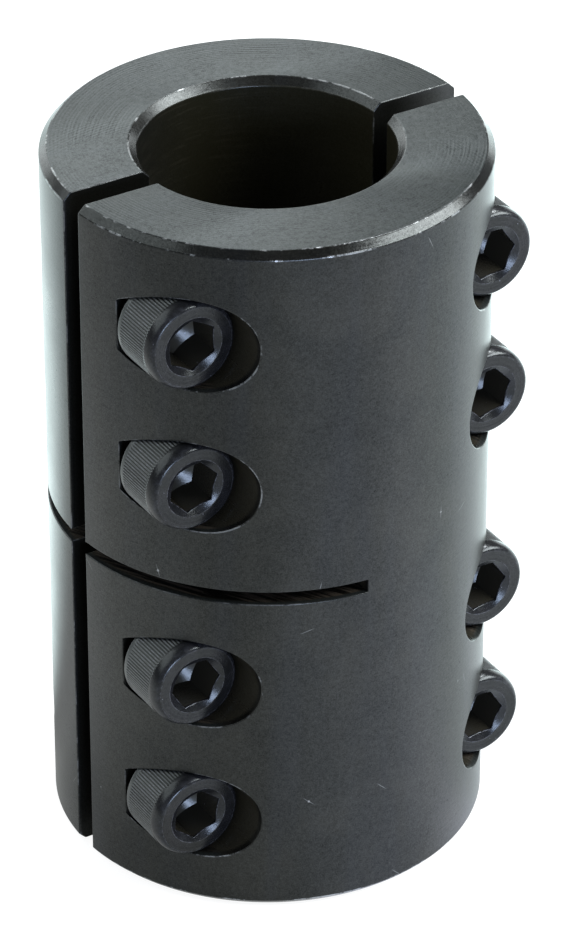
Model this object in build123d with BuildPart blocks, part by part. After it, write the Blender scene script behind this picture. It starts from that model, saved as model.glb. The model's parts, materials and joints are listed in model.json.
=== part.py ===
from build123d import *
from math import radians, tan
import os

# Rigid two-piece sleeve coupling for 1 in shafts: two half sleeves and eight cap screws.
# The bore axis is Z, with the origin on it at mid-length. The socket head screws
# enter from the front, -Y, and thread into the rear half, +Y. Left is -X.

INCH = 25.4

# ---------------------------------------------------------------- sleeve
outer_dia = 1.75 * INCH
bore_dia = 1 * INCH
length = 3 * INCH
end_chamfer = 0.76           # outer edge of each end face
bore_chamfer = 0.8           # lead-in at each bore mouth
outer_r = outer_dia / 2

# ---------------------------------------------------------------- saw cuts
# The split between the halves lies a little in front of the bore axis.
front_split_y = -1.85        # split face of the front half
rear_split_y = 0.80          # split face of the rear half
slit_width = 1.4             # cross cut, sawn in from the -X side through both halves
slit_centre_z = -0.62
slit_end_x = -1.82           # square end of the cross cut
cut_overrun = 1.0            # how far the cutting bodies reach past the sleeve

# ---------------------------------------------------------------- screw stations
screw_x = 16.9               # screw axes either side of the bore axis
inner_row_z = 11.5           # inner rows, above and below mid-length
outer_row_z = 27.4           # outer rows
screw_rows = (outer_row_z, inner_row_z, -inner_row_z, -outer_row_z)
screw_spots = [(x, z) for x in (-screw_x, screw_x) for z in screw_rows]

seat_y = -7.1                # counterbore floor
counterbore_dia = 9.92
clearance_dia = 6.53         # close-fit hole for a 1/4 in screw
tapped_dia = 6.45            # plain stand-in for the 1/4-28 thread, clear of the shank
tapped_mouth_chamfer = 0.5   # where the tapped holes open on the split face

# ---------------------------------------------------------------- 1/4-28 x 5/8 in cap screws
shank_dia = INCH / 4
shank_length = 5 / 8 * INCH
tip_chamfer = 0.55
head_dia = 1.5 * shank_dia
head_height = shank_dia
head_face_y = -14.6          # the heads stand a little proud of their seats
crown_width = 0.61           # crowned rim of the head, radial part
crown_height = 1.2           # crowned rim of the head, axial part
crown_control_inset = 0.08   # curve control point, in from the sharp corner both ways
head_foot_chamfer = 0.2      # small break under the head

hex_across_flats = 3 / 16 * INCH
hex_depth = 4.05
hex_mouth_dia = 6.22         # countersink around the hexagon
drill_dia = 4.5              # drill point below the hexagon
drill_overlap = 0.5          # how far the drill cut starts above the hexagon's floor
cone_half_angle = 60         # of the countersink and of the drill point

# Each hexagon stands at its own angle, in degrees from +X towards +Z.
# Side: (screw x, hexagon angles with the top row first)
screw_columns = {
    "left": (-screw_x, (31.0, 14.5, 2.5, 21.0)),
    "right": (screw_x, (5.5, 13.5, 5.8, 2.8)),
}


def make_blank_half(split_y, kept_side):
    """Tube chamfered at both ends, then cut back to its split face."""
    with BuildPart() as blank:
        with BuildSketch(Plane.XY.offset(-length / 2)):
            Circle(outer_r)
            Circle(bore_dia / 2, mode=Mode.SUBTRACT)
        extrude(amount=length)
        rims = blank.edges().filter_by(GeomType.CIRCLE).group_by(SortBy.RADIUS)
        chamfer(rims[-1], end_chamfer)
        # the first chamfer replaced some edges, so the bore rims are selected afresh
        rims = blank.edges().filter_by(GeomType.CIRCLE).group_by(SortBy.RADIUS)
        chamfer(rims[0], bore_chamfer)
        # Plane.XZ faces -Y, so its offsets run towards the front
        split(bisect_by=Plane.XZ.offset(-split_y), keep=kept_side)
    return blank.part


def make_front_half():
    """Front half, with counterbored clearance holes entered from the front."""
    blank = make_blank_half(front_split_y, Keep.TOP)
    with BuildPart() as front_half:
        add(blank)
        with Locations(Plane.XZ.offset(outer_r)):
            with Locations(*screw_spots):
                CounterBoreHole(
                    radius=clearance_dia / 2,
                    counter_bore_radius=counterbore_dia / 2,
                    counter_bore_depth=outer_r + seat_y,
                )
        # cross cut, from in front of the sleeve to just behind the bore axis
        with BuildSketch(Plane.XZ.offset(outer_r + cut_overrun)):
            with Locations((slit_end_x, slit_centre_z)):
                Rectangle(outer_r, slit_width, align=(Align.MAX, Align.CENTER))
        extrude(amount=-(outer_r + 2 * cut_overrun), mode=Mode.SUBTRACT)
    return front_half.part


def make_rear_half():
    """Rear half, with tapped holes from the split face out through the back."""
    blank = make_blank_half(rear_split_y, Keep.BOTTOM)
    with BuildPart() as rear_half:
        add(blank)
        with Locations(Plane.XZ.offset(-rear_split_y)):
            with Locations(*screw_spots):
                Hole(radius=tapped_dia / 2)
        mouths = (
            rear_half.edges()
            .filter_by(GeomType.CIRCLE)
            .filter_by_position(Axis.Y, rear_split_y - 0.01, rear_split_y + 0.01)
        )
        chamfer(mouths, tapped_mouth_chamfer)
        # cross cut, from the bore axis out through the back
        with BuildSketch(Plane.XZ):
            with Locations((slit_end_x, slit_centre_z)):
                Rectangle(outer_r, slit_width, align=(Align.MAX, Align.CENTER))
        extrude(amount=-(outer_r + cut_overrun), mode=Mode.SUBTRACT)
    return rear_half.part


def make_screw(x, z, hex_angle):
    """Socket head cap screw on the axis through (x, z), its head towards -Y."""
    head_r = head_dia / 2
    crown_start_r = head_r - crown_width
    crown_end_y = head_face_y + crown_height
    under_head_y = head_face_y + head_height
    shank_r = shank_dia / 2
    tip_y = under_head_y + shank_length

    mouth_r = hex_mouth_dia / 2
    drill_r = drill_dia / 2
    hex_floor_y = head_face_y + hex_depth
    drill_start_y = hex_floor_y - drill_overlap
    cone_slope = tan(radians(cone_half_angle))   # radius per unit of depth

    screw_axis = Axis((x, 0, z), (0, 1, 0))
    # head plane: local x is +X, local y is +Z, and its normal leaves the head
    face_plane = Plane(origin=(x, head_face_y, z), x_dir=(1, 0, 0), z_dir=(0, -1, 0))
    # profile plane: local x is the radius, local y is the world Y
    profile_plane = Plane(origin=(x, 0, z), x_dir=(1, 0, 0), z_dir=(0, 0, 1))

    with BuildPart() as screw:
        # head and shank
        with BuildSketch(profile_plane):
            with BuildLine():
                Line((0, head_face_y), (crown_start_r, head_face_y))
                Bezier(
                    (crown_start_r, head_face_y),
                    (head_r - crown_control_inset, head_face_y + crown_control_inset),
                    (head_r, crown_end_y),
                )
                Polyline(
                    (head_r, crown_end_y),
                    (head_r, under_head_y - head_foot_chamfer),
                    (head_r - head_foot_chamfer, under_head_y),
                    (shank_r, under_head_y),
                    (shank_r, tip_y - tip_chamfer),
                    (shank_r - tip_chamfer, tip_y),
                    (0, tip_y),
                    (0, head_face_y),
                )
            make_face()
        revolve(axis=screw_axis)
        # hexagon socket
        with BuildSketch(face_plane):
            RegularPolygon(
                radius=hex_across_flats / 2,
                side_count=6,
                major_radius=False,
                rotation=hex_angle,
            )
        extrude(amount=-hex_depth, mode=Mode.SUBTRACT)
        # countersunk mouth, then drill point
        with BuildSketch(profile_plane):
            with BuildLine():
                Polyline(
                    (0, head_face_y),
                    (mouth_r, head_face_y),
                    (0, head_face_y + mouth_r / cone_slope),
                    close=True,
                )
            make_face()
            with BuildLine():
                Polyline(
                    (0, drill_start_y),
                    (drill_r, drill_start_y),
                    (drill_r, hex_floor_y),
                    (0, hex_floor_y + drill_r / cone_slope),
                    close=True,
                )
            make_face()
        revolve(axis=screw_axis, mode=Mode.SUBTRACT)
    return screw.part


def export_piece(piece, name):
    piece.label = name
    export_step(piece, f"parts/{name}.step")


os.makedirs("parts", exist_ok=True)
export_piece(make_front_half(), "front_half")
export_piece(make_rear_half(), "rear_half")
for side, (x, hex_angles) in screw_columns.items():
    for number, (z, hex_angle) in enumerate(zip(screw_rows, hex_angles), start=1):
        export_piece(make_screw(x, z, hex_angle), f"clamp_screw_{side}_{number}")
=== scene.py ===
"""A split clamp sleeve in two halves, held by eight 1/4-28 socket cap screws.

The bore runs along Z and the sleeve is centred on the origin. The halves part near y = 0: the
front half lies towards -Y and has counterbores, the rear half lies towards +Y and is tapped.
A narrow cross slit cuts the -X side. Meshes are worked out in mm and stored in metres.
"""
import bpy
import json
import math
import numpy as np
from mathutils import Matrix, Vector
from mathutils.geometry import delaunay_2d_cdt
from typing import NamedTuple


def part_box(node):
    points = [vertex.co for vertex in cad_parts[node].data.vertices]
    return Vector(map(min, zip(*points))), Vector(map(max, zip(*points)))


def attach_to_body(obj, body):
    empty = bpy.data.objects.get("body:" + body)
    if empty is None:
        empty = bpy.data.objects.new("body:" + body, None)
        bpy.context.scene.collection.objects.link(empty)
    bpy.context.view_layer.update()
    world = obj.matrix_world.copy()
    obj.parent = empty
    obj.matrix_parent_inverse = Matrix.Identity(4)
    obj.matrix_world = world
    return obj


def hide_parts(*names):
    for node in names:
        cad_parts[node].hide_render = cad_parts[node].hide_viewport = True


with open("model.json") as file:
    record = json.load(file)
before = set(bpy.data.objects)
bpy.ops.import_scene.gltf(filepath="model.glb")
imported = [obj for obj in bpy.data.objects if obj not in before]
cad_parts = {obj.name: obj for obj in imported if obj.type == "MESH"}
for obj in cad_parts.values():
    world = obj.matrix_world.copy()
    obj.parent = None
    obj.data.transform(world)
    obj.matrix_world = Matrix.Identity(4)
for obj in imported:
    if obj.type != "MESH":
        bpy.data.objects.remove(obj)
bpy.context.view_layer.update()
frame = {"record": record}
MM = 0.001
INCH = 25.4     # mm


def box_mm(name):
    return [[c / MM for c in corner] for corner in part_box(name)]


# ------------------------------------------------------------------ sizes, in mm
front_box, rear_box = box_mm("front_half"), box_mm("rear_half")
R_OUT = round(rear_box[1][1], 4)
HALF_LEN = round(rear_box[1][2], 4)
FRONT_SPLIT = round(front_box[1][1], 4)     # y of the front half's split face
REAR_SPLIT = round(rear_box[0][1], 4)
mounts = {m["name"]: m for m in reversed(frame["record"]["mounts"])}
R_BORE = mounts["shaft_bore"]["dims"]["r_mm"]
END_CHAMFER, BORE_CHAMFER = 0.76, 0.8
EDGE = 0.14                                 # how far each sharp edge is broken
ROUND = 0.13                                # the same, on the turned profile

# cross slit: z of its floor and ceiling, keyed by the side its metal lies on, and x of its end
SLIT_Z = {-1: -1.32, 1: 0.08}
SLIT_END = -1.82

# screw holes; the seat is the floor of a counterbore
SEAT_Y, R_CBORE, R_CLEAR, R_TAP = -7.1, 4.96, 3.265, 3.225
SEAT_EDGE_X = math.sqrt(R_OUT**2 - SEAT_Y**2)   # where the seat runs out of the sleeve

# cap screw
R_HEAD, HEAD_H, R_SHANK = 3 * INCH / 16, INCH / 4, INCH / 8
HEX_FLATS = 3 * INCH / 16
PITCH = INCH / 28
STEPS = 8           # mesh rows in one pitch
THREAD_Z0 = 0.3     # height of a crest at angle 0, in the screw's own frame

TURN = np.linspace(0, 2 * np.pi, 73)        # one full turn round a hole or shank
UP = np.array([0.0, 1.0, 0.0])              # the way a split face looks


class Screw(NamedTuple):
    name: str
    x: float
    z: float
    turn: float     # angle of a hexagon corner


HEX_DEGREES = {"left": (31.0, 14.5, 2.5, 21.0), "right": (5.5, 13.5, 5.8, 2.8)}
SCREWS = []
for side, angles in HEX_DEGREES.items():
    for number, degrees in enumerate(angles, 1):
        name = f"clamp_screw_{side}_{number}"
        low, high = box_mm(name)
        middle_x, middle_z = (round((low[axis] + high[axis]) / 2, 3) for axis in (0, 2))
        SCREWS.append(Screw(name, middle_x, middle_z, math.radians(degrees)))
FACE_Y, TIP_Y = (round(corner[1], 3) for corner in box_mm(SCREWS[0].name))


# ------------------------------------------------------------------ points and curves
def unit(a):
    return a / np.maximum(np.linalg.norm(a, axis=-1, keepdims=True), 1e-12)


def vec(*parts):
    return np.stack(np.broadcast_arrays(*[np.asarray(p, float) for p in parts]), -1)


def polar(radius, angle, z):
    """Points about the sleeve's axis; angle 0 is -Y and grows towards +X."""
    return vec(radius * np.sin(angle), -radius * np.cos(angle), z)


def around(radius, angle, z):
    """Points about the screw's axis; angle 0 is +X and grows towards +Y."""
    return vec(radius * np.cos(angle), radius * np.sin(angle), z)


def bend(start, sharp, end, t):
    """A curve from start to end, pulled towards the sharp corner."""
    return (1 - t) ** 2 * start + 2 * t * (1 - t) * sharp + t**2 * end


def stations(begin, end, step, fine=0.0):
    """Positions about a step apart, with extra ones within the distance fine of both ends."""
    places = np.linspace(begin, end, max(1, math.ceil(abs(end - begin) / step)) + 1)
    if not fine:
        return places
    way = 1 if end > begin else -1
    extra = way * fine * np.array([0.3, 0.65, 1.0])
    places = np.concatenate([places, begin + extra, end - extra])
    ahead = way * places
    places = places[(ahead >= way * begin - 1e-12) & (ahead <= way * end + 1e-12)]
    places = np.sort(places)[::way]
    keep = np.concatenate([[True], np.abs(np.diff(places)) > 0.05])
    keep[-1] = True
    if len(places) > 2 and abs(places[-1] - places[-2]) < 0.05:
        keep[-2] = False
    return places[keep]


def edge_width(edge, at_start, at_end, length=0.5):
    """Width of a broken edge, which runs down to nothing at the chosen ends."""
    steps = np.linalg.norm(np.diff(edge, axis=0), axis=1)
    along = np.concatenate([[0], np.cumsum(steps)])
    grow = np.ones(len(edge))
    if at_start:
        grow = np.minimum(grow, np.clip(along / length, 0, 1))
    if at_end:
        grow = np.minimum(grow, np.clip((along[-1] - along) / length, 0, 1))
    return EDGE * grow * (2 - grow)


def inside(points, loops):
    """Even-odd test of 2-D points against closed loops."""
    a = np.concatenate(loops)
    b = np.concatenate([np.roll(loop, -1, 0) for loop in loops])
    level = a[:, 1] == b[:, 1]
    a, b = a[~level], b[~level]
    slope = (b[:, 0] - a[:, 0]) / (b[:, 1] - a[:, 1])
    result = np.zeros(len(points), bool)
    for i in range(0, len(points), 2000):
        part = points[i : i + 2000]
        y = part[:, 1:2]
        crosses = (a[:, 1] > y) != (b[:, 1] > y)
        x = a[:, 0] + (y - a[:, 1]) * slope
        result[i : i + 2000] = (np.sum(crosses & (part[:, 0:1] < x), 1) % 2) == 1
    return result


def nearest(points, others):
    """Distance from each point to the nearest of the others."""
    result = np.full(len(points), 1e9)
    for i in range(0, len(points), 1500):
        d = points[i : i + 1500, None] - others[None]
        result[i : i + 1500] = np.sqrt((d * d).sum(-1)).min(1)
    return result


# A surface is three functions: unroll to 2-D, roll back to 3-D, and the normal at 3-D points.
def flat(axis, level, sign):
    """The plane at a level of one axis, facing along that axis with the sign."""
    facing = sign * np.eye(3)[axis]
    return (
        lambda points: np.delete(points, axis, 1),
        lambda plane: np.insert(plane, axis, level, 1),
        lambda points: np.broadcast_to(facing, points.shape),
    )


def facing_of(radius):
    """1 on the outside, which faces away from the axis, and -1 in the bore."""
    return 1 if radius == R_OUT else -1


def cylinder(radius):
    sign = facing_of(radius)
    return (
        lambda p: np.stack([np.arctan2(p[:, 0], -p[:, 1]) * radius, p[:, 2]], -1),
        lambda plane: polar(radius, plane[:, 0] / radius, plane[:, 1]),
        lambda p: sign * vec(p[:, 0] / radius, p[:, 1] / radius, 0),
    )


# ------------------------------------------------------------------ mesh builder
class Shell:
    """Patches with exact corner normals, welded into one closed mesh. The wear value marks broken
    edges, and on the screw's crown also a painted highlight.
    """

    def __init__(self):
        self.points, self.normals, self.wear, self.faces = [], [], [], []
        self.count = 0

    def add(self, points, normals, wear=0.0):
        self.points.append(points)
        self.normals.append(unit(normals))
        self.wear.append(np.broadcast_to(wear, len(points)))
        base = self.count
        self.count += len(points)
        return base

    def grid(self, points, normals, wear=0.0, closed=False):
        """Points are rows by columns; closed joins the last column to the first."""
        rows, cols = points.shape[:2]
        normals = np.broadcast_to(normals, points.shape)
        if np.ndim(wear) == 1:
            wear = np.asarray(wear)[:, None]
        wear = np.broadcast_to(wear, (rows, cols)).ravel()
        base = self.add(points.reshape(-1, 3), normals.reshape(-1, 3), wear)
        low = base + np.arange(rows - 1)[:, None] * cols
        high = low + cols
        j = np.arange(cols if closed else cols - 1)[None]
        k = (j + 1) % cols
        self.faces.append(np.stack([low + j, low + k, high + k, high + j], -1).reshape(-1, 4))

    def strip(self, sharp, start, end, start_normal, end_normal, wear, closed=False, steps=4):
        """A broken edge: a rounded band from start to end in place of the sharp corner."""
        t = np.linspace(0, 1, steps + 1)[:, None, None]
        points = bend(start, sharp, end, t)
        points[0], points[-1] = start, end
        normals = unit((1 - t) * start_normal + t * end_normal)
        self.grid(points, normals, np.sin(np.pi * t[:, 0, 0]) * wear, closed)

    def patch(self, loops, surface, step=None):
        """Fills the area between closed loops of 3-D points; step spaces points inside it."""
        unroll, roll, normal = surface
        loops = [p[np.linalg.norm(p - np.roll(p, 1, 0), axis=1) > 2e-4] for p in loops]
        outlines = [unroll(loop) for loop in loops]
        rim, rim_points = np.concatenate(outlines), np.concatenate(loops)
        edges, base = [], 0
        for loop in loops:
            size = len(loop)
            edges += [(base + i, base + (i + 1) % size) for i in range(size)]
            base += size
        plane = rim
        if step:
            # a lattice of equal triangles, kept off the rim
            low, high = rim.min(0), rim.max(0)
            across = np.arange(low[0], high[0], step)
            along = np.arange(low[1], high[1], step * 0.8660254)
            lattice = np.stack(np.meshgrid(across, along), -1)
            lattice[1::2, :, 0] += step / 2
            lattice = lattice.reshape(-1, 2)
            lattice = lattice[inside(lattice, outlines)]
            plane = np.concatenate([rim, lattice[nearest(lattice, rim) > step * 0.45]])
        result = delaunay_2d_cdt([Vector(p) for p in plane], edges, [], 0, 1e-6)
        plane = np.array([v[:] for v in result[0]])
        triangles = np.array([f for f in result[2] if len(f) == 3])
        points = roll(plane)
        # rim points go back to their exact places
        for i, sources in enumerate(result[3]):
            for source in sources:
                if source < len(rim_points):
                    points[i] = rim_points[source]
                    break
        triangles = triangles[inside(plane[triangles].mean(1), outlines)]
        base = self.add(points, normal(points))
        self.faces.append(np.concatenate([base + triangles, base + triangles[:, 2:3]], 1))

    def revolve(self, rows, angles, wear=0.0, facing=None):
        """A closed band from rows of radius, height, radial normal and axial normal."""
        facing = angles if facing is None else facing
        points = np.stack([around(radius, angles, z) for radius, z, _, _ in rows])
        normals = np.stack([around(radial, facing, axial) for _, _, radial, axial in rows])
        self.grid(points, unit(normals), wear, closed=True)

    def zip_columns(self, columns):
        """Joins neighbouring columns of (keys, points, normals) key by key, keys ascending."""
        faces = []
        bases = [self.add(points, normals) for _, points, normals in columns]
        for c in range(len(columns) - 1):
            keys_a, keys_b = columns[c][0], columns[c + 1][0]
            i = j = 0
            while i < len(keys_a) - 1 or j < len(keys_b) - 1:
                next_a = keys_a[i + 1] if i < len(keys_a) - 1 else 1e18
                next_b = keys_b[j + 1] if j < len(keys_b) - 1 else 1e18
                a, b = bases[c] + i, bases[c + 1] + j
                if abs(next_a - next_b) < 1e-6:
                    faces.append((a, a + 1, b + 1, b))
                    i += 1
                    j += 1
                elif next_a < next_b:
                    faces.append((a, a + 1, b, b))
                    i += 1
                else:
                    faces.append((a, b + 1, b, b))
                    j += 1
        self.faces.append(np.array(faces))

    def build(self, name, mirror_y=False):
        """Welds the patches and makes the object."""
        points, normals = np.concatenate(self.points), np.concatenate(self.normals)
        wear, faces = np.concatenate(self.wear), np.concatenate(self.faces)
        if mirror_y:
            points, normals = points * (1, -1, 1), normals * (1, -1, 1)
        # points in the same cell, about 0.0001 mm wide, become one vertex
        cell = np.round(points * 9973.7 + 0.1234).astype(np.int64)
        cell -= cell.min(0)
        code = (cell[:, 0] << 42) + (cell[:, 1] << 21) + cell[:, 2]
        _, first, weld = np.unique(code, return_index=True, return_inverse=True)
        weld = weld.ravel()
        vertices = points[first]

        # faces with one repeated corner become triangles; thinner ones are dropped
        index = weld[faces]
        same = [index[:, a] == index[:, (a + 1) % 4] for a in range(4)]
        folded = (index[:, 0] == index[:, 2]) | (index[:, 1] == index[:, 3])
        repeats = sum(s.astype(int) for s in same)
        quads = faces[(repeats == 0) & ~folded]
        triangles = np.concatenate([
            faces[(repeats == 1) & same[a] & ~folded][:, [c for c in range(4) if c != a]]
            for a in range(4)
        ])

        def orient(faces):
            """Turns faces to agree with their normals and drops those without area."""
            p = vertices[weld[faces]]
            # for a triangle, the last corner is the third
            base = p[:, 1] if faces.shape[1] == 4 else p[:, 0]
            first_side = p[:, 2] - p[:, 0] if faces.shape[1] == 4 else p[:, 1] - p[:, 0]
            area = np.cross(first_side, p[:, -1] - base)
            flip = (area * normals[faces].mean(1)).sum(1) < 0
            faces = faces.copy()
            faces[flip] = faces[flip][:, ::-1]
            return faces[np.linalg.norm(area, axis=1) > 1e-12]

        quads, triangles = orient(quads), orient(triangles)
        corners = np.concatenate([quads.ravel(), triangles.ravel()])
        sizes = np.concatenate([np.full(len(quads), 4), np.full(len(triangles), 3)])
        starts = np.concatenate([[0], np.cumsum(sizes)[:-1]])
        mesh = bpy.data.meshes.new(name)
        mesh.vertices.add(len(vertices))
        mesh.vertices.foreach_set("co", (vertices * MM).astype(np.float32).ravel())
        mesh.loops.add(len(corners))
        mesh.loops.foreach_set("vertex_index", weld[corners].astype(np.int32))
        mesh.polygons.add(len(sizes))
        mesh.polygons.foreach_set("loop_start", starts.astype(np.int32))
        mesh.polygons.foreach_set("use_smooth", np.ones(len(sizes), bool))
        mesh.update(calc_edges=True)
        attribute = mesh.attributes.new("wear", "FLOAT", "CORNER")
        attribute.data.foreach_set("value", wear[corners].astype(np.float32))
        mesh.normals_split_custom_set(normals[corners].astype(np.float32).tolist())
        return link(name, mesh)


def link(name, data):
    """A new object in the scene."""
    made = bpy.data.objects.new(name, data)
    bpy.context.scene.collection.objects.link(made)
    return made


# ------------------------------------------------------------------ threads
def trapezoid(phase, flat_share):
    """1 on the crest (flat_share of the pitch either side of 0), 0 on the root, flanks between."""
    d = np.abs((phase + 0.5) % 1.0 - 0.5)
    return np.clip((0.375 - d) / (0.375 - flat_share), 0, 1)


def thread_rows(shift, bottom, top, top_margin=0.0):
    """Numbers of the mesh rows between two heights, and the rows' heights."""
    first = math.ceil((bottom / PITCH + shift) * STEPS + 0.15)
    last = math.floor((top / PITCH + shift) * STEPS - top_margin)
    rows = np.arange(first, last + 1)
    return rows, (rows / STEPS - shift) * PITCH


def column_normals(radius, height, sign):
    """Radial and axial normals of one column; sign is -1 where they point to the axis."""
    return unit(sign * np.stack([np.gradient(height), -np.gradient(radius)], -1)).T


# ------------------------------------------------------------------ one half of the sleeve
class Bevel(NamedTuple):
    """A broken edge: its sharp corner, the two sides of the band, and the normal at the start."""

    sharp: np.ndarray
    start: np.ndarray
    end: np.ndarray
    start_normal: np.ndarray

    def part(self, *limits):
        return Bevel(*(row[slice(*limits)] for row in self))


def chain(*bevels):
    return Bevel(*map(np.concatenate, zip(*bevels)))


def rising(points):
    return points if points[0, 2] < points[-1, 2] else points[::-1]


def end_profile(pockets):
    """One turned end from the outside to the bore: radius, height, normal (2) and wear."""
    diagonal = 0.7071
    bore_wear = (0.15, 0.1) if pockets else (0.75, 0.4)
    corners = (
        # radius, height, normal before, normal after, wear
        (R_OUT, HALF_LEN - END_CHAMFER, (1, 0), (diagonal, diagonal), 1.0),
        (R_OUT - END_CHAMFER, HALF_LEN, (diagonal, diagonal), (0, 1), 0.7),
        (R_BORE + BORE_CHAMFER, HALF_LEN, (0, 1), (-diagonal, diagonal), bore_wear[0]),
        (R_BORE, HALF_LEN - BORE_CHAMFER, (-diagonal, diagonal), (-1, 0), bore_wear[1]),
    )
    rows = []
    for number, (radius, height, before, after, wear) in enumerate(corners):
        corner, before, after = map(np.array, ((radius, height), before, after))
        start = corner - np.array([-before[1], before[0]]) * ROUND
        end = corner + np.array([-after[1], after[0]]) * ROUND
        for t in np.linspace(0, 1, 5):
            normal = unit((1 - t) * before + t * after)
            rows.append((*bend(start, corner, end, t), *normal, math.sin(math.pi * t) * wear))
        if number == 1:
            # the flat end face
            for ring in np.linspace(end[0], R_BORE + BORE_CHAMFER + ROUND, 10)[1:-1]:
                rows.append((ring, HALF_LEN, 0, 1, 0))
    return np.array(rows).T


def spread(edge, screw, width, closed=False):
    """Moves the edge of a hole along the outside, away from the hole."""
    path = np.stack([np.arctan2(edge[:, 0], -edge[:, 1]) * R_OUT, edge[:, 2]], -1)
    tangent = np.gradient(path, axis=0)
    if closed:
        tangent[0] = tangent[-1] = (path[1] - path[-2]) / 2
    away = unit(np.stack([tangent[:, 1], -tangent[:, 0]], -1))
    centre = (math.atan2(screw.x, math.sqrt(R_OUT**2 - screw.x**2)) * R_OUT, screw.z)
    away *= np.sign((away * (path - centre)).sum(1))[:, None]
    return polar(R_OUT, (path[:, 0] + away[:, 0] * width) / R_OUT, path[:, 1] + away[:, 1] * width)


def outward(points):
    """Normals of the outside."""
    return vec(points[:, 0], points[:, 1], 0) / R_OUT


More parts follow.
